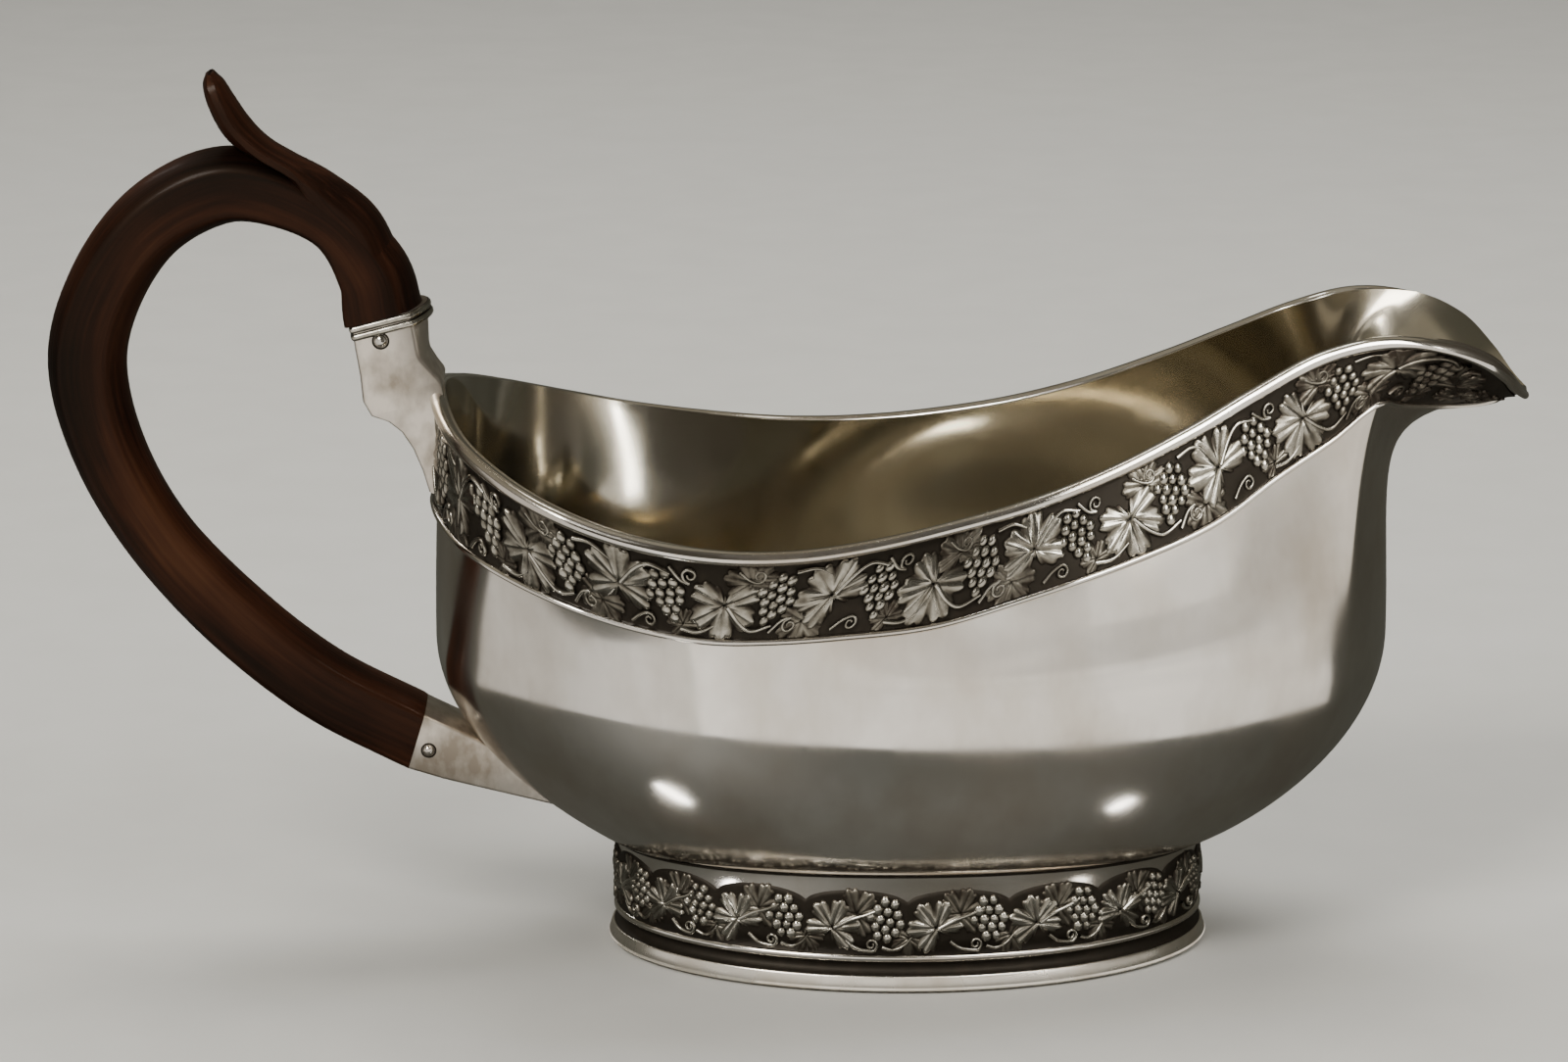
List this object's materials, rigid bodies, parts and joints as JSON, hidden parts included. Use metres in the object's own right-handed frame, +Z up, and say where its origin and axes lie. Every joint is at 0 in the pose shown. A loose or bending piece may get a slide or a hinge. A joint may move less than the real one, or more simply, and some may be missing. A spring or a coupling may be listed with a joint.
{
  "type": "sauce boat",
  "caption": "Oval silver sauce boat on an oval foot, with cast vine bands round rim and foot and a scrolled wooden handle with a thumb spur.",
  "frame": {"origin": "centre of the foot on the plane it rests on", "axes": "+X points to the pouring lip, +Z up, so +Y is the side on the left of someone who holds the handle"},
  "size_m": [0.2298, 0.0868, 0.1391],
  "materials": {
    "silver": "hand-polished sterling silver",
    "oxidised_silver": "cast silver vine relief, oxidised dark in the recesses",
    "wood": "dark red-brown polished fruitwood"
  },
  "bodies": {
    "root": {"bowl": "silver", "rim_wire": "silver", "rim_vine_band_left": "oxidised_silver", "rim_vine_band_right": "oxidised_silver", "rim_lower_wire": "silver", "foot_collar": "silver", "foot_vine_band": "oxidised_silver", "foot_moulding": "silver", "foot_plinth": "silver", "upper_socket": "silver", "upper_socket_reeds": "silver", "upper_pin": "silver", "lower_socket": "silver", "lower_pin": "silver", "handle": "wood"}
  },
  "joints": []
}
